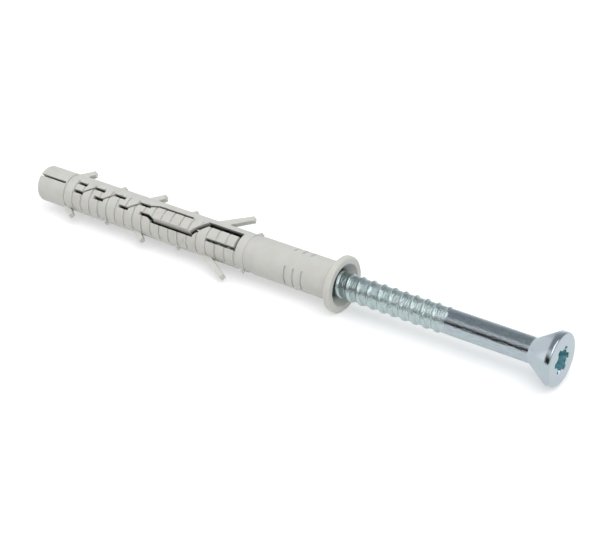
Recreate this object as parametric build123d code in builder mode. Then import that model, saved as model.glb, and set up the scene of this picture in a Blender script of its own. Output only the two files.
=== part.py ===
from build123d import *
import os
from math import cos, radians, sin, tan

os.makedirs("parts", exist_ok=True)

# A frame fixing: a long expansion plug moulded in one piece, and the countersunk screw
# that is driven into it through the frame. It lies on its collar and on the screw's head,
# with the screw started but not driven home.

# Plug body. Lengths along the plug are counted from its tip.
plug_length = 100.0
plug_diameter = 10.0
tip_chamfer = 0.35
collar_diameter = 14.6
collar_thickness = 1.8
collar_chamfer = 0.4
mouth_diameter = 11.1
roll_angle = 38.0
outline_angle = 3.5

# Ringed expansion zone
tip_length = 9.8
ring_pitch = 3.1
ring_count = 20
ring_depth = 0.3
ring_ramp_length = 0.6
ring_upper_reach = 25.0
ring_end_reach = 72.0
ring_lower_reach = 80.0
neck_length = 2.2
neck_depth = 0.25

# Slots that let the zone spread. Heights are measured from the middle of the slotted face.
tip_slot_length = 9.5
tip_slot_width = 0.6
slot_width = 0.85
thin_slot_width = 0.5
zigzag_height = 1.25
zigzag_starts = (13.2, 20.5, 29.4)
lower_slot_length = 3.4
diagonal_length = 2.8
upper_slot_length = 3.7
step_length = 2.2
long_slot_height = 2.25
long_slot_end = 53.0
long_slot_width = 0.6
last_lower_start = 36.8
wide_slot_height = 1.95
wide_slot_width = 1.4
wide_slot_foot = 0.75
wide_slot_foot_depth = 1.6
wide_slot_end = 55.2
wide_diagonal_length = 3.2
tongue_length = 10.9
tongue_half_width = 2.05
tongue_slot_width = 0.75
tongue_root_step = 1.0

# Fins that keep the plug from turning in the hole, and the small barbs between them
fin_width = 1.6
fin_thickness = 1.1
short_fin_starts = (8.2, 33.6)
short_fin_length = 4.6
short_fin_reach = 7.3
long_fin_start = 57.2
long_fin_length = 9.5
long_fin_reach = 9.35
barb_starts = (22.7, 47.7, 69.2)
barb_length = 2.2
barb_reach = 5.8
barb_width = 1.6

# Depth marks on the sleeve, three each side of a plain band
mark_count = 3
mark_pitch = 2.55
mark_to_collar_face = 10.0
mark_arc = 63.0
mark_band_arc = 56.0
mark_band_turn = -6.0
mark_width = 0.45
mark_depth = 0.3

# Screw, longer than the plug so that its point stands out of the tip when it is home
screw_overlength = 5.0
thread_diameter = 7.0
thread_length = 74.0
point_length = 7.0
point_end_radius = 0.5
shank_diameter = 6.35
head_diameter = 13.2
head_land = 1.8
head_chamfer = 0.35
head_cone_angle = 66.0
head_reach = 59.5

# Six-lobe drive recess
recess_outer_diameter = 6.7
recess_inner_diameter = 4.8
recess_hollow_radius = 1.1
recess_depth = 3.3
recess_lobes = 6

# Fits
bore_clearance = 0.15
seat_gap = 0.25

# Worked out from the sizes above
screw_length = plug_length + screw_overlength
plug_radius = plug_diameter / 2
collar_radius = collar_diameter / 2
mouth_radius = mouth_diameter / 2
thread_radius = thread_diameter / 2
shank_radius = shank_diameter / 2
head_radius = head_diameter / 2
bore_radius = thread_radius + bore_clearance
cone_slope = tan(radians(head_cone_angle / 2))
seat_depth = (mouth_radius - bore_radius) / cone_slope
head_cone_length = (head_radius - shank_radius) / cone_slope
zone_end = tip_length + ring_count * ring_pitch

# The part's origin is under the middle of its box, on the surface that it lies on.
axis_height = collar_radius
tip_x = -(plug_length + head_reach) / 2
collar_x = tip_x + plug_length
head_x = collar_x + head_reach
point_x = head_x - screw_length

# How far the screw is driven until its cone sits in the collar's countersink
drive_travel = head_reach - head_land - (head_radius - mouth_radius) / cone_slope - seat_gap
driven_point_x = point_x - drive_travel
point_slope = (thread_radius - point_end_radius) / point_length

# The plug's halves part along this plane: it holds the axis and the fins, and its normal
# is the way that the slots are cut through.
turn = radians(roll_angle)
parting_plane = Plane(
    origin=(tip_x, 0, axis_height), x_dir=(1, 0, 0), z_dir=(0, -sin(turn), cos(turn))
)
plug_axis = Axis((tip_x, 0, axis_height), (1, 0, 0))
screw_plane = Plane(origin=(head_x, 0, axis_height), x_dir=(-1, 0, 0), z_dir=(0, 1, 0))
head_plane = Plane(origin=(head_x, 0, axis_height), x_dir=(0, 1, 0), z_dir=(1, 0, 0))


def radial_plane(angle):
    """A plane through the axis from the tip, leaning by an angle from upright."""
    lean = radians(angle)
    return Plane(origin=(tip_x, 0, axis_height), x_dir=(1, 0, 0), z_dir=(0, -cos(lean), -sin(lean)))


def axial_slot(start, end, height, width):
    """A slot along the plug, drawn in the parting plane."""
    with Locations(((start + end) / 2, height)):
        Rectangle(end - start, width)


def slanted_slot(start, end, width):
    """A slot between two points of the parting plane."""
    with BuildLine() as middle:
        Line(start, end)
    trace(middle.line, line_width=width)


def zigzag(start):
    """One step of the zigzag: a short slot below, a thin slant, and a short slot above."""
    bend = start + lower_slot_length
    top = bend + diagonal_length
    axial_slot(start, bend, -zigzag_height, slot_width)
    slanted_slot((bend - thin_slot_width, -zigzag_height), (top, zigzag_height), thin_slot_width)
    axial_slot(top - thin_slot_width, top + upper_slot_length, zigzag_height, slot_width)


def fin(start, length, reach, side):
    """A long fin that leans outwards and back to the collar, flat against the parting plane."""
    root = plug_radius - fin_thickness
    with BuildSketch(parting_plane) as profile:
        with BuildLine():
            Polyline(
                (start, side * root),
                (start, side * (plug_radius - ring_depth)),
                (start + length, side * reach),
                (start + length + fin_thickness / 2, side * (reach - fin_thickness)),
                (start + 2 * fin_thickness, side * root),
                close=True,
            )
        make_face()
    extrude(profile.sketch, amount=fin_width / 2, both=True)


def barb(start, side):
    """A small barb that rises from the surface to a steep back."""
    root = plug_radius - 2 * ring_depth
    with BuildSketch(parting_plane) as profile:
        with BuildLine():
            Polyline(
                (start, side * root),
                (start + barb_length, side * barb_reach),
                (start + barb_length + ring_depth, side * root),
                close=True,
            )
        make_face()
    extrude(profile.sketch, amount=barb_width / 2, both=True)


def ring_grooves(first, count, start_angle, arc):
    """Grooves between rings, cut part of the way round: a step, then a ramp to the next ring."""
    with BuildSketch(radial_plane(start_angle)) as profile:
        for ring in range(first, first + count):
            start = tip_length + ring * ring_pitch
            with BuildLine():
                Polyline(
                    (start, plug_radius - ring_depth),
                    (start + 2 * ring_ramp_length, plug_radius + ring_depth),
                    (start, plug_radius + ring_depth),
                    close=True,
                )
            make_face()
    revolve(profile.sketch, axis=plug_axis, revolution_arc=arc, mode=Mode.SUBTRACT)


def depth_mark(place, start_angle):
    """A shallow groove across the sleeve, cut round the axis from a start angle."""
    with BuildSketch(radial_plane(start_angle)) as profile:
        with Locations((plug_length - place, plug_radius)):
            Rectangle(mark_width, 2 * mark_depth)
    revolve(profile.sketch, axis=plug_axis, revolution_arc=mark_arc, mode=Mode.SUBTRACT)


outline_plane = radial_plane(outline_angle)

with BuildPart() as expansion_plug:
    # tip, zone, neck and sleeve, turned about the axis
    neck_radius = plug_radius - neck_depth
    with BuildSketch(outline_plane):
        with BuildLine():
            Polyline(
                (0, 0),
                (0, plug_radius - tip_chamfer),
                (tip_chamfer, plug_radius),
                (zone_end, plug_radius),
                (zone_end, neck_radius),
                (zone_end + neck_length, neck_radius),
                (zone_end + neck_length, plug_radius),
                (plug_length - collar_thickness / 2, plug_radius),
                (plug_length - collar_thickness / 2, 0),
                close=True,
            )
        make_face()
    revolve(axis=plug_axis)

    # rings on both faces, from the upper slots down to the lower fins; the first groove goes
    # further round
    ring_arc = ring_upper_reach + ring_lower_reach
    end_arc = ring_end_reach + ring_lower_reach
    ring_grooves(1, ring_count - 1, roll_angle - ring_upper_reach, ring_arc)
    ring_grooves(1, ring_count - 1, roll_angle + 180 - ring_lower_reach, ring_arc)
    ring_grooves(0, 1, roll_angle - ring_end_reach, end_arc)
    ring_grooves(0, 1, roll_angle + 180 - ring_lower_reach, end_arc)

    # collar, with both its edges broken
    with BuildSketch(outline_plane):
        with Locations((plug_length - collar_thickness, 0)):
            Rectangle(collar_thickness, collar_radius, align=(Align.MIN, Align.MIN))
        chamfer(vertices().group_by(Axis.Y)[-1], collar_chamfer)
    revolve(axis=plug_axis)

    # fins and barbs in two rows, one each side
    for side in (1, -1):
        for start in short_fin_starts:
            fin(start, short_fin_length, short_fin_reach, side)
        fin(long_fin_start, long_fin_length, long_fin_reach, side)
        for start in barb_starts:
            barb(start, side)

    # bore for the screw: countersunk mouth, straight run, and an end that follows the point
    driven_point = driven_point_x - tip_x
    tip_hole_radius = point_end_radius - driven_point * point_slope + bore_clearance
    taper_end = driven_point + point_length
    with BuildSketch(outline_plane):
        with BuildLine():
            Polyline(
                (0, 0),
                (0, tip_hole_radius),
                (taper_end, bore_radius),
                (plug_length - seat_depth, bore_radius),
                (plug_length, mouth_radius),
                (plug_length, 0),
                close=True,
            )
        make_face()
    revolve(axis=plug_axis, mode=Mode.SUBTRACT)

    # slots, cut straight through both walls
    with BuildSketch(parting_plane):
        axial_slot(0, tip_slot_length, 0, tip_slot_width)
        for start in zigzag_starts:
            zigzag(start)
        # the last upper slot steps outwards and runs on above the wide slot
        step_start = zigzag_starts[-1] + lower_slot_length + diagonal_length + upper_slot_length
        step_end = step_start + step_length
        slanted_slot((step_start - slot_width, zigzag_height), (step_end, long_slot_height), long_slot_width)
        axial_slot(step_end - long_slot_width / 2, long_slot_end, long_slot_height, long_slot_width)
        # the last lower slot opens into the wide slot, which slants up to the tongue
        lower_end = last_lower_start + lower_slot_length
        wide_start = lower_end + step_length / 2
        axial_slot(last_lower_start, lower_end, -zigzag_height, slot_width)
        slanted_slot((lower_end - slot_width / 2, -zigzag_height), (wide_start, -wide_slot_height), slot_width)
        foot_height = -wide_slot_height - (wide_slot_width - wide_slot_foot) / 2
        axial_slot(wide_start - slot_width / 2, wide_slot_end, foot_height, wide_slot_foot)
        tongue_start = wide_slot_end + wide_diagonal_length
        tongue_end = tongue_start + tongue_length
        diagonal_start = (wide_slot_end - wide_slot_width / 2, -wide_slot_height)
        slanted_slot(diagonal_start, (tongue_start, tongue_half_width), wide_slot_width)
        # a cut on three sides leaves a tongue that points to the sleeve
        end_cut_height = 2 * tongue_half_width + tongue_slot_width
        axial_slot(tongue_start - tongue_slot_width, tongue_end, tongue_half_width, wide_slot_width)
        axial_slot(tongue_start + tongue_root_step, tongue_end, -tongue_half_width, tongue_slot_width)
        axial_slot(tongue_end - tongue_slot_width, tongue_end, 0, end_cut_height)
    extrude(amount=collar_diameter, both=True, mode=Mode.SUBTRACT)

    # one more short slot above the first, on the upper face alone
    with BuildSketch(parting_plane):
        axial_slot(zigzag_starts[0], zigzag_starts[0] + lower_slot_length, zigzag_height, slot_width)
    extrude(amount=collar_diameter, mode=Mode.SUBTRACT)

    # the wide slot's upper wall leans outwards to its full width, on both faces
    low_edge = -wide_slot_height - wide_slot_width / 2
    foot_edge = low_edge + wide_slot_foot
    section_plane = Plane(
        origin=parting_plane.from_local_coords((wide_start, 0, 0)),
        x_dir=parting_plane.y_dir,
        z_dir=parting_plane.x_dir,
    )
    with BuildSketch(section_plane):
        for side in (1, -1):
            with BuildLine():
                Polyline(
                    (low_edge, side * plug_radius),
                    (low_edge, side * (plug_radius - wide_slot_foot_depth)),
                    (foot_edge, side * (plug_radius - wide_slot_foot_depth)),
                    (low_edge + wide_slot_width, side * plug_radius),
                    close=True,
                )
            make_face()
    extrude(amount=wide_slot_end - wide_start, mode=Mode.SUBTRACT)

    # depth marks, either side of the plain band
    band_angle = roll_angle + mark_band_turn
    for mark in range(mark_count):
        place = mark_to_collar_face + mark * mark_pitch
        depth_mark(place, band_angle + mark_band_arc / 2)
        depth_mark(place, band_angle - mark_band_arc / 2 - mark_arc)

expansion_plug.part.label = "expansion_plug"
export_step(expansion_plug.part, "parts/expansion_plug.step")


with BuildPart() as screw:
    # head, shank, threaded length at its full diameter, and point, turned about the axis
    thread_start = screw_length - thread_length
    with BuildSketch(screw_plane):
        with BuildLine():
            Polyline(
                (0, 0),
                (0, head_radius - head_chamfer),
                (head_chamfer, head_radius),
                (head_land, head_radius),
                (head_land + head_cone_length, shank_radius),
                (thread_start, shank_radius),
                (thread_start, thread_radius),
                (screw_length - point_length, thread_radius),
                (screw_length, point_end_radius),
                (screw_length, 0),
                close=True,
            )
        make_face()
    revolve(axis=Axis((head_x, 0, axis_height), (1, 0, 0)))

    # six-lobe recess
    with BuildSketch(head_plane):
        Circle(recess_outer_diameter / 2)
        with PolarLocations(recess_inner_diameter / 2 + recess_hollow_radius, recess_lobes):
            Circle(recess_hollow_radius, mode=Mode.SUBTRACT)
    extrude(amount=-recess_depth, mode=Mode.SUBTRACT)

screw.part.label = "screw"
export_step(screw.part, "parts/screw.step")
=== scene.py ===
from math import cos, pi, radians, sin, sqrt, tan

import bpy
from mathutils import Matrix, Vector


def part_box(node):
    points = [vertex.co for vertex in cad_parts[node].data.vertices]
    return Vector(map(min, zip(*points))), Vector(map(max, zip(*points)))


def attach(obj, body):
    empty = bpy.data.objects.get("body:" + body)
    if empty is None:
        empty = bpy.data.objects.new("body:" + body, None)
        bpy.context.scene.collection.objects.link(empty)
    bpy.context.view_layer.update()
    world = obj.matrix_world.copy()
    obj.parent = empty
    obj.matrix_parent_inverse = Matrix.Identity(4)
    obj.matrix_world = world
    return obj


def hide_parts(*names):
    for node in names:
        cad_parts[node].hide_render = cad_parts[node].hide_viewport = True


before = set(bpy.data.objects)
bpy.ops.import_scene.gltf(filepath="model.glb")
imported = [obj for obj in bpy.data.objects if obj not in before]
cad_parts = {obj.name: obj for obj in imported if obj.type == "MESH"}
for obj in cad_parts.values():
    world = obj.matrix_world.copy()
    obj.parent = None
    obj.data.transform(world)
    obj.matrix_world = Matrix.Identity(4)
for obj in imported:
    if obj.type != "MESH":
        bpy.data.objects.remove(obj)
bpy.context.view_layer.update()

# Lengths are in millimetres, and become metres where an object or a material is made. Angles
# are in degrees, noise scales are per metre, and colours of the materials are the 0-255 values
# that they should render as.
MM = 0.001

# Sizes read from the frame
screw_low, screw_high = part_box("screw")
plug_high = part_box("expansion_plug")[1]
HEAD_X = screw_high[0] / MM
SCREW_LENGTH = (screw_high[0] - screw_low[0]) / MM
HEAD_RADIUS = (screw_high[1] - screw_low[1]) / MM / 2
AXIS_HEIGHT = (screw_high[2] + screw_low[2]) / MM / 2
COLLAR_X = plug_high[0] / MM

# Screw, along its axis from the face of its head
LAND_LENGTH = 1.8
FACE_EDGE_RADIUS = 0.45
CONE_ANGLE = 66
FOOT_RADIUS = 1.6
SHANK_RADIUS = 3.175
SHANK_TAPER = 2
THREAD_LENGTH = 75.45
POINT_LENGTH = 7
POINT_RADIUS = 0.35
POINT_FLAT_RADIUS = POINT_RADIUS / 3
ARC_STEPS = 6
TURN_SEGMENTS = 144
SHARP_ANGLE = 38

# Thread: its ridge stands on a core that is thinner than the shank, and is sunk into it a
# little. It fades out at both ends, and the core's and ridge's shares are for the point.
CREST_RADIUS = 3.5
CREST_SHARPNESS = 1.25
CORE_RADIUS = 3.1
THREAD_PITCH = 3.06
CREST_FROM_COLLAR = 4.6
CREST_ANGLE = -34
RIDGE_HALF_WIDTH = 0.85
RIDGE_SINK = 0.05
RIDGE_END = 1.5
FLANK_STEPS = 6
RIDGE_SEGMENTS = 72
FADE_TURNS = 0.4
LEAST_CORE_SHARE = 0.1
LEAST_RIDGE_SHARE = 0.35

# Six-lobe recess: its wall, and its floor, which is a shallow pit
RECESS_RADIUS = 3.35
HOLLOW_RADIUS = 1.1
HOLLOW_CENTRE = 3.5
RECESS_DEPTH = 3.3
RECESS_EDGE = 0.12
LOBES = 6
WALL_FOOT_SCALE = 0.985
FLOOR_DEPTH = 1.2
FLOOR_RIM_SCALE = 0.7
FLOOR_RIM_SHARE = 0.1
FLOOR_MIDDLE_RADIUS = 0.2

# Nylon: its two greys, then where a painted highlight makes the fins paler and painted shade
# darkens the bore, by distance from the axis and by distance behind the collar's face
NYLON_GREYS = ((205, 204, 197), (211, 210, 204))
# painted highlight: the paler grey the fins get, with the radii and share where it shows
FIN_HIGHLIGHT_GREY = (216, 216, 207)
FIN_HIGHLIGHT_RADII = (5.3, 7.2)
FIN_HIGHLIGHT_SHARE = 0.5
# painted shade: the dark grey down the bore, with the radii and depths where it shows
BORE_SHADE_GREY = (84, 86, 79)
BORE_SHADE_RADII = (3.7, 4.4)
BORE_SHADE_STARTS = (3, 1)
CLOUD_SCALE = 220
CLOUD_SPREAD = (0.35, 0.65)
RIPPLE_SCALE = 900
RIPPLE_WEIGHT = 0.6
NYLON_GRAIN_SCALE = 9000
NYLON_GRAIN_WEIGHT = 0.4
NYLON_ROUGHNESS = (0.44, 0.56)
NYLON_BUMP = 0.18
NYLON_BUMP_DEPTH = 0.04
NYLON_EDGE_RADIUS = 0.18
NYLON_SCATTER = 0.15
NYLON_SCATTER_DEPTH = 0.8

# Zinc: its two greys, the tints in the recess and on the thread, then where they are, by
# distance behind the head's face and from the axis
ZINC_GREYS = ((172, 186, 189), (176, 184, 192))
RECESS_TINT = (144, 194, 204)
RECESS_TINT_STARTS = (0.7, 0.1)
RECESS_TINT_ENDS = (4.6, 4.5)
RECESS_TINT_RADII = (3.4, 3.8)
RECESS_MATT_SHARE = 0.6
THREAD_TINT = (179, 194, 193)
THREAD_TINT_SHARE = 0.7
THREAD_BLEND = 0.5
SHANK_STARTS = (8, 7)
STAIN_SCALE = 160
STAIN_SPREAD = (0.38, 0.62)
LINES_STRETCH = (0.2, 1.0, 1.0)
LINES_SCALE = 3300
LINES_WEIGHT = 0.35
LINES_SPREAD = (0.4, 0.6)
LINES_SHADE = (0.88, 1.0)
MARKS_STRETCH = (2.2, 0.5, 0.5)
MARKS_SCALE = 1500
MARKS_WEIGHT = 1.5
ZINC_GRAIN_SCALE = 6000
ZINC_GRAIN_WEIGHT = 0.03
ZINC_ROUGHNESS = (0.11, 0.2)
THREAD_ROUGHNESS = 0.08
ZINC_BUMP = 1.0
ZINC_BUMP_DEPTH = 0.16
ZINC_EDGE_RADIUS = 0.08

GRAIN_SPREAD = (0.3, 0.7)
EDGE_SAMPLES = 6

# Camera, from a fit to the photograph
CAMERA_PLACE = (208.12, -276.59, 192.06)
CAMERA_RIGHT = (0.808166, 0.588955, 0.0)
CAMERA_UP = (-0.281894, 0.386863, 0.877994)
CAMERA_BACK = (0.517111, -0.709556, 0.478672)
CAMERA_LENS = 93.34
CAMERA_CLIP = (10, 20000)
SENSOR_WIDTH = 36

# Room: its grey by the sine of the height above the horizon, and the levels of the panels in
# front, at the left and in the corner between them. The ranges are of the direction's own x, y
# or z, from where a panel begins to where it is full, or from full to gone for a top.
ROOM_LEVELS = ((0.0, 0.95), (0.2, 0.8), (0.45, 0.52), (0.7, 0.4), (1.0, 0.36))
ROOM_TINT = (0.93, 1.0, 1.05)
FRONT_Y = (-0.34, -0.52)
PANEL_LEVEL = 0.95
PANEL_TOP = (0.7, 0.84)
DARK_COLOUR = (0.02, 0.02, 0.018)
DARK_TOP = (0.34, 0.6)
LEFT_X = (-0.6, -0.75)
LEFT_LEVEL = 1.1
CORNER_Y = (-0.3, -0.5)
CORNER_LEVEL = 1.4

# Table: half its width, its own grey, and what is added to it where it is seen or reflected
TABLE_HALF = 3000
TABLE_LEVEL = 0.8
TABLE_LIFT = 0.35

# Lamps by name, direction, spread and strength
LAMPS = (
    ("soft_top", (0.3, -0.25, 1.0), 62, 1.38),
    ("soft_front", (0.6, -0.8, 0.6), 60, 0.35),
)


def around(distance, radius, angle):
    """A point on the screw, by distance from the head's face, radius and angle from upright."""
    height = AXIS_HEIGHT + radius * cos(angle)
    return Vector((HEAD_X - distance, -radius * sin(angle), height)) * MM


def recess_outline(angle):
    """Distance from the axis to the wall of the six-lobe recess."""
    spacing = 2 * pi / LOBES
    off = (angle + spacing / 2) % spacing - spacing / 2
    inside = HOLLOW_RADIUS**2 - (HOLLOW_CENTRE * sin(off)) ** 2
    if inside < 0:
        return RECESS_RADIUS
    return min(RECESS_RADIUS, HOLLOW_CENTRE * cos(off) - sqrt(inside))


def arc(centre, radius, start, end):
    """Points of an arc in a lathe profile."""
    points = []
    for step in range(ARC_STEPS + 1):
        turn = radians(start + (end - start) * step / ARC_STEPS)
        points.append((centre[0] + radius * cos(turn), centre[1] + radius * sin(turn)))
    return points


def screw_profile():
    """The screw's outline from the edge of its face to its point: (distance, radius) pairs."""
    half_cone = radians(CONE_ANGLE / 2)
    cone_end = LAND_LENGTH + (HEAD_RADIUS - SHANK_RADIUS) / tan(half_cone)
    face_centre = (FACE_EDGE_RADIUS, HEAD_RADIUS - FACE_EDGE_RADIUS)
    foot_centre = (cone_end + FOOT_RADIUS * tan(half_cone / 2), SHANK_RADIUS + FOOT_RADIUS)
    thread_start = SCREW_LENGTH - THREAD_LENGTH
    outline = arc(face_centre, FACE_EDGE_RADIUS, 180, 90)
    outline += [(LAND_LENGTH, HEAD_RADIUS)]
    outline += arc(foot_centre, FOOT_RADIUS, 270 - CONE_ANGLE / 2, 270)
    outline += [
        (thread_start - SHANK_TAPER / 2, SHANK_RADIUS),
        (thread_start + SHANK_TAPER / 2, CORE_RADIUS),
        (SCREW_LENGTH - POINT_LENGTH, CORE_RADIUS),
        (SCREW_LENGTH - POINT_RADIUS, POINT_RADIUS),
        (SCREW_LENGTH, POINT_FLAT_RADIUS),
    ]
    return outline


def turned_rows(rows, segments):
    """Points and faces of rows that go once round the axis, joined in order, with both ends
    closed. A row is a distance and a function from angle to radius."""
    points = []
    faces = []
    for row, (distance, radius_at) in enumerate(rows):
        for segment in range(segments):
            angle = 2 * pi * segment / segments
            points.append(around(distance, radius_at(angle), angle))
            if row:
                here = row * segments + segment
                beside = row * segments + (segment + 1) % segments
                faces.append((here, beside, beside - segments, here - segments))
    last = (len(rows) - 1) * segments
    faces.append(tuple(range(segments)))
    faces.append(tuple(last + segment for segment in range(segments))[::-1])
    return points, faces


def screw_body():
    """Head with its recess, shank, core and point, as rows from the middle of the recess floor."""
    def of_outline(scale, extra=0.0):
        return lambda angle: recess_outline(angle) * scale + extra

    def of_circle(radius):
        return lambda angle: radius

    def across_face(angle):
        return (recess_outline(angle) + 2 * HEAD_RADIUS) / 3

    rows = [
        (RECESS_DEPTH + FLOOR_DEPTH, of_circle(FLOOR_MIDDLE_RADIUS)),
        (RECESS_DEPTH + FLOOR_DEPTH * FLOOR_RIM_SHARE, of_outline(FLOOR_RIM_SCALE)),
        (RECESS_DEPTH, of_outline(WALL_FOOT_SCALE)),
        (RECESS_DEPTH - RECESS_EDGE, of_outline(1.0)),
        (RECESS_EDGE, of_outline(1.0)),
        (0.0, of_outline(1.0, RECESS_EDGE)),
        (0.0, across_face),
    ]
    rows += [(distance, of_circle(radius)) for distance, radius in screw_profile()]
    return turned_rows(rows, TURN_SEGMENTS)


def ridge_section():
    """The thread ridge across its width, with a round crest: pairs of an offset and a share of
    the height."""
    section = []
    for step in range(-FLANK_STEPS, FLANK_STEPS + 1):
        share = step / FLANK_STEPS
        height = (0.5 + 0.5 * cos(pi * share)) ** CREST_SHARPNESS
        section.append((share * RIDGE_HALF_WIDTH, height))
    return section


def thread_ridge():
    """The helical ridge, right-handed, from the end of the shank to the point, as a closed
    shell."""
    section = ridge_section()
    first = SCREW_LENGTH - THREAD_LENGTH
    crest_distance = HEAD_X - COLLAR_X - CREST_FROM_COLLAR
    turns = (SCREW_LENGTH - RIDGE_END - first) / THREAD_PITCH
    start_angle = radians(CREST_ANGLE) + 2 * pi * (crest_distance - first) / THREAD_PITCH
    steps = round(turns * RIDGE_SEGMENTS)
    points = []
    faces = []
    for step in range(steps + 1):
        turned = step / RIDGE_SEGMENTS
        distance = first + turned * THREAD_PITCH
        angle = start_angle - 2 * pi * turned
        fade = max(min(1.0, turned / FADE_TURNS, (turns - turned) / FADE_TURNS), 0.0)
        to_point = (SCREW_LENGTH - distance) / POINT_LENGTH
        core = CORE_RADIUS * min(1.0, max(to_point, LEAST_CORE_SHARE))
        full = (CREST_RADIUS - CORE_RADIUS) * min(1.0, to_point + LEAST_RIDGE_SHARE)
        foot = core - RIDGE_SINK
        for offset, share in section:
            radius = foot + (core + full * fade - foot) * share
            points.append(around(distance + offset, radius, angle))
        if step:
            here = step * len(section)
            before = here - len(section)
            for side in range(len(section)):
                other = (side + 1) % len(section)
                faces.append((before + side, here + side, here + other, before + other))
    last = steps * len(section)
    faces.append(tuple(range(len(section))))
    faces.append(tuple(last + side for side in range(len(section)))[::-1])
    return points, faces


def make_piece(name, parts, sharp_angle):
    """One mesh object from several lists of points and faces, shaded smooth up to an angle."""
    points = []
    faces = []
    for part_points, part_faces in parts:
        base = len(points)
        points += part_points
        faces += [tuple(base + corner for corner in face) for face in part_faces]
    mesh = bpy.data.meshes.new(name)
    mesh.from_pydata([tuple(point) for point in points], [], faces)
    mesh.validate()
    for polygon in mesh.polygons:
        polygon.use_smooth = True
    mesh.set_sharp_from_angle(angle=radians(sharp_angle))
    piece = bpy.data.objects.new(name, mesh)
    bpy.context.scene.collection.objects.link(piece)
    return piece


class Shader:
    """A material or world under construction, with short calls to add and join its nodes."""

    def __init__(self, owner):
        owner.use_nodes = True
        self.tree = owner.node_tree
        self.tree.nodes.clear()

    def add(self, kind, settings=None, **inputs):
        """A node, with its inputs by name, or as _0, _1 and so on by number."""
        made = self.tree.nodes.new(kind)
        for key, value in (settings or {}).items():
            setattr(made, key, value)
        for key, value in inputs.items():
            number = key[1:]
            socket = made.inputs[int(number) if number.isdigit() else key.replace("_", " ")]
            if isinstance(value, bpy.types.NodeSocket):
                self.tree.links.new(value, socket)
            else:
                socket.default_value = value
        return made

    def math(self, operation, first, second=0.0):
        return self.add("ShaderNodeMath", {"operation": operation}, _0=first, _1=second).outputs[0]

    def plus(self, first, second):
        return self.math("ADD", first, second)

    def times(self, first, second):
        return self.math("MULTIPLY", first, second)

    def mapped(self, value, low, high, to_low=0.0, to_high=1.0):
        made = self.add(
            "ShaderNodeMapRange", _0=value, _1=low, _2=high, _3=to_low, _4=to_high
        )
        return made.outputs[0]

    def mixed(self, share, first, second, blend="MIX"):
        settings = {"data_type": "RGBA", "blend_type": blend}
        return self.add("ShaderNodeMix", settings, _0=share, _6=first, _7=second).outputs[2]

    def grey(self, level):
        return self.add("ShaderNodeCombineColor", _0=level, _1=level, _2=level).outputs[0]

    def noise(self, place, scale, detail=3.0):
        made = self.add("ShaderNodeTexNoise", Vector=place, Scale=scale, Detail=detail)
        return made.outputs["Fac"]

    def bumped(self, height, strength, depth, edge_radius):
        """A normal with relief on it and with softened edges, from lengths in millimetres."""
        soft = self.add("ShaderNodeBevel", {"samples": EDGE_SAMPLES}, Radius=edge_radius * MM)
        made = self.add(
            "ShaderNodeBump",
            Strength=strength,
            Distance=depth * MM,
            Height=height,
            Normal=soft.outputs[0],
        )
        return made.outputs[0]

    def axis_places(self):
        """The place on the object, its distance along x and its distance from the axis."""
        place = self.add("ShaderNodeTexCoord").outputs["Object"]
        parts = self.add("ShaderNodeSeparateXYZ", Vector=place)
        along, across, up = parts.outputs[0], parts.outputs[1], parts.outputs[2]
        height = self.math("SUBTRACT", up, AXIS_HEIGHT * MM)
        squares = self.plus(self.times(across, across), self.times(height, height))
        return place, along, self.math("SQRT", squares)


def rgb(colour):
    """A linear colour from the 0-255 values that it should render as."""
    def linear(value):
        share = value / 255
        return share / 12.92 if share <= 0.04045 else ((share + 0.055) / 1.055) ** 2.4
    return (*[linear(value) for value in colour], 1.0)


def in_metres(lengths):
    """A pair of lengths in metres."""
    return [length * MM for length in lengths]


def behind(face_x, distances):
    """Two places along x in metres, by their distances behind a face."""
    return [(face_x - distance) * MM for distance in distances]


def nylon_material():
    """Moulded nylon: pale warm grey, satin, with a painted highlight on the fins and painted shade
    down the bore.
    """
    material = bpy.data.materials.new("nylon")
    shader = Shader(material)
    place, along, radius = shader.axis_places()
    cloudy = shader.mapped(shader.noise(place, CLOUD_SCALE), *CLOUD_SPREAD)
    colour = shader.mixed(cloudy, rgb(NYLON_GREYS[0]), rgb(NYLON_GREYS[1]))
    # painted highlight: the nylon is paler away from the axis, on the fins
    fin_highlight = shader.mapped(radius, *in_metres(FIN_HIGHLIGHT_RADII), 0.0, FIN_HIGHLIGHT_SHARE)
    colour = shader.mixed(fin_highlight, colour, rgb(FIN_HIGHLIGHT_GREY))
    # painted shade: the nylon is darker near the axis, deeper than the collar's mouth
    inside = shader.mapped(radius, *in_metres(BORE_SHADE_RADII), 1.0, 0.0)
    deep_shade = shader.mapped(along, *behind(COLLAR_X, BORE_SHADE_STARTS), 1.0, 0.0)
    colour = shader.mixed(shader.times(inside, deep_shade), colour, rgb(BORE_SHADE_GREY))
    grain = shader.noise(place, NYLON_GRAIN_SCALE, 4.0)
    ripple = shader.noise(place, RIPPLE_SCALE, 2.0)
    height = shader.plus(
        shader.times(ripple, RIPPLE_WEIGHT), shader.times(grain, NYLON_GRAIN_WEIGHT)
    )
    surface = shader.add(
        "ShaderNodeBsdfPrincipled",
        Base_Color=colour,
        Roughness=shader.mapped(grain, *GRAIN_SPREAD, *NYLON_ROUGHNESS),
        Subsurface_Weight=NYLON_SCATTER,
        Subsurface_Scale=NYLON_SCATTER_DEPTH * MM,
        Normal=shader.bumped(height, NYLON_BUMP, NYLON_BUMP_DEPTH, NYLON_EDGE_RADIUS),
    )
    shader.add("ShaderNodeOutputMaterial", Surface=surface.outputs[0])
    return material


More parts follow.
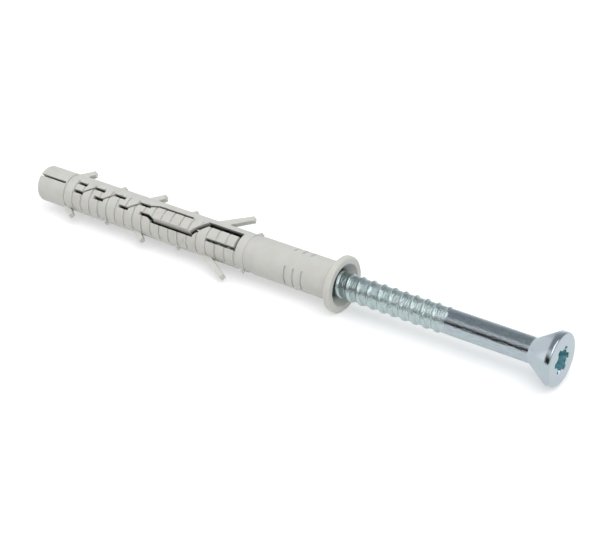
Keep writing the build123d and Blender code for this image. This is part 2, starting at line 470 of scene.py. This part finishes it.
def zinc_material():
    """Bright zinc plate with a cold tint, drawn lines, rolled marks and slight stains."""
    material = bpy.data.materials.new("zinc_plate")
    shader = Shader(material)
    place, along, radius = shader.axis_places()
    stain = shader.mapped(shader.noise(place, STAIN_SCALE), *STAIN_SPREAD)
    colour = shader.mixed(stain, rgb(ZINC_GREYS[0]), rgb(ZINC_GREYS[1]))

    # a deeper, duller tint down in the recess
    sunk = shader.mapped(along, *behind(HEAD_X, RECESS_TINT_STARTS), 1.0, 0.0)
    middle = shader.mapped(radius, *in_metres(RECESS_TINT_RADII), 1.0, 0.0)
    before_end = shader.mapped(along, *behind(HEAD_X, RECESS_TINT_ENDS))
    down_recess = shader.times(shader.times(sunk, middle), before_end)
    colour = shader.mixed(down_recess, colour, rgb(RECESS_TINT))
    metal = shader.math("SUBTRACT", 1.0, shader.times(down_recess, RECESS_MATT_SHARE))

    # drawn lines along the shank, rolled marks round the thread, and a fine grain all over
    thread_end = SCREW_LENGTH - THREAD_LENGTH
    thread_ends = (thread_end + THREAD_BLEND, thread_end - THREAD_BLEND)
    on_thread = shader.mapped(along, *behind(HEAD_X, thread_ends), 1.0, 0.0)
    below_head = shader.mapped(along, *behind(HEAD_X, SHANK_STARTS), 1.0, 0.0)
    on_shank = shader.math("SUBTRACT", below_head, on_thread)
    lines_place = shader.add("ShaderNodeMapping", Vector=place, Scale=LINES_STRETCH).outputs[0]
    lines = shader.noise(lines_place, LINES_SCALE)
    marks_place = shader.add("ShaderNodeMapping", Vector=place, Scale=MARKS_STRETCH).outputs[0]
    marks = shader.noise(marks_place, MARKS_SCALE, 4.0)
    grain = shader.noise(place, ZINC_GRAIN_SCALE)
    height = shader.plus(
        shader.times(shader.times(lines, on_shank), LINES_WEIGHT),
        shader.times(shader.times(marks, on_thread), MARKS_WEIGHT),
    )
    height = shader.plus(height, shader.times(grain, ZINC_GRAIN_WEIGHT))
    gloss = shader.mapped(grain, *GRAIN_SPREAD, *ZINC_ROUGHNESS)
    gloss = shader.plus(gloss, shader.times(on_thread, THREAD_ROUGHNESS))

    # the thread is greener, and the drawn lines show as fine shades on the shank
    colour = shader.mixed(shader.times(on_thread, THREAD_TINT_SHARE), colour, rgb(THREAD_TINT))
    shade = shader.grey(shader.mapped(lines, *LINES_SPREAD, *LINES_SHADE))
    colour = shader.mixed(on_shank, colour, shade, "MULTIPLY")
    surface = shader.add(
        "ShaderNodeBsdfPrincipled",
        Base_Color=colour,
        Metallic=metal,
        Roughness=gloss,
        Normal=shader.bumped(height, ZINC_BUMP, ZINC_BUMP_DEPTH, ZINC_EDGE_RADIUS),
    )
    shader.add("ShaderNodeOutputMaterial", Surface=surface.outputs[0])
    return material


def table_material():
    """A white table: it takes shadows, and shows as white to the camera and in the metal."""
    material = bpy.data.materials.new("table")
    shader = Shader(material)
    seen = shader.add("ShaderNodeLightPath")
    shown = shader.math("MAXIMUM", seen.outputs["Is Camera Ray"], seen.outputs["Is Glossy Ray"])
    shown = shader.math("MAXIMUM", shown, seen.outputs["Is Transmission Ray"])
    matt = shader.add("ShaderNodeBsdfDiffuse", Color=(TABLE_LEVEL, TABLE_LEVEL, TABLE_LEVEL, 1.0))
    lift = shader.add("ShaderNodeEmission", Strength=shader.times(shown, TABLE_LIFT))
    surface = shader.add("ShaderNodeAddShader", _0=matt.outputs[0], _1=lift.outputs[0])
    shader.add("ShaderNodeOutputMaterial", Surface=surface.outputs[0])
    return material


def make_world():
    """A studio, paler towards the horizon: a pale panel in front above a dark low part, and
    another at the left that is brightest in the front corner."""
    world = bpy.data.worlds.new("room")
    bpy.context.scene.world = world
    shader = Shader(world)
    place = shader.add("ShaderNodeTexCoord").outputs["Generated"]
    parts = shader.add("ShaderNodeSeparateXYZ", Vector=place)
    x, y, z = parts.outputs[0], parts.outputs[1], parts.outputs[2]
    level = shader.add("ShaderNodeValToRGB", _0=z)
    stops = level.color_ramp.elements
    while len(stops) < len(ROOM_LEVELS):
        stops.new(0.5)
    for stop, (at, grey) in zip(stops, ROOM_LEVELS):
        stop.position = at
        stop.color = (*[grey * share for share in ROOM_TINT], 1.0)
    front = shader.mapped(y, *FRONT_Y)
    panel = shader.times(shader.mapped(z, *PANEL_TOP, 1.0, 0.0), front)
    colour = shader.mixed(panel, level.outputs[0], (PANEL_LEVEL, PANEL_LEVEL, PANEL_LEVEL, 1.0))
    dark = shader.times(shader.mapped(z, *DARK_TOP, 1.0, 0.0), front)
    colour = shader.mixed(dark, colour, (*DARK_COLOUR, 1.0))
    beside = shader.grey(shader.mapped(y, *CORNER_Y, LEFT_LEVEL, CORNER_LEVEL))
    colour = shader.mixed(shader.mapped(x, *LEFT_X), colour, beside)
    background = shader.add("ShaderNodeBackground", Color=colour, Strength=1.0)
    shader.add("ShaderNodeOutputWorld", Surface=background.outputs[0])


def make_table():
    """The table top under the fixing."""
    half = TABLE_HALF * MM
    mesh = bpy.data.meshes.new("table")
    corners = [(-half, -half, 0), (half, -half, 0), (half, half, 0), (-half, half, 0)]
    mesh.from_pydata(corners, [], [(0, 1, 2, 3)])
    table = bpy.data.objects.new("table", mesh)
    bpy.context.scene.collection.objects.link(table)
    mesh.materials.append(table_material())


def make_lamp(name, towards, spread, strength):
    """A soft distant lamp that shines from a direction, over a spread."""
    light = bpy.data.lights.new(name, "SUN")
    light.angle = radians(spread)
    light.energy = strength
    lamp = bpy.data.objects.new(name, light)
    lamp.location = Vector(towards).normalized()
    lamp.rotation_euler = Vector(towards).to_track_quat("Z", "Y").to_euler()
    bpy.context.scene.collection.objects.link(lamp)


def make_camera():
    """The camera at the photograph's viewpoint."""
    data = bpy.data.cameras.new("camera")
    data.lens = CAMERA_LENS
    data.sensor_width = SENSOR_WIDTH
    data.clip_start, data.clip_end = in_metres(CAMERA_CLIP)
    camera = bpy.data.objects.new("camera", data)
    turn = Matrix((CAMERA_RIGHT, CAMERA_UP, CAMERA_BACK)).transposed()
    camera.matrix_world = Matrix.Translation(Vector(CAMERA_PLACE) * MM) @ turn.to_4x4()
    bpy.context.scene.collection.objects.link(camera)
    bpy.context.scene.camera = camera


make_camera()
make_world()
make_table()
for lamp_name, towards, spread, strength in LAMPS:
    make_lamp(lamp_name, towards, spread, strength)

screw = make_piece("threaded_screw", [screw_body(), thread_ridge()], SHARP_ANGLE)
screw.data.materials.append(zinc_material())
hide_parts("screw")
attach(screw, "screw")

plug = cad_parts["expansion_plug"]
plug.data.materials.clear()
plug.data.materials.append(nylon_material())

bpy.context.scene.view_settings.view_transform = "Standard"
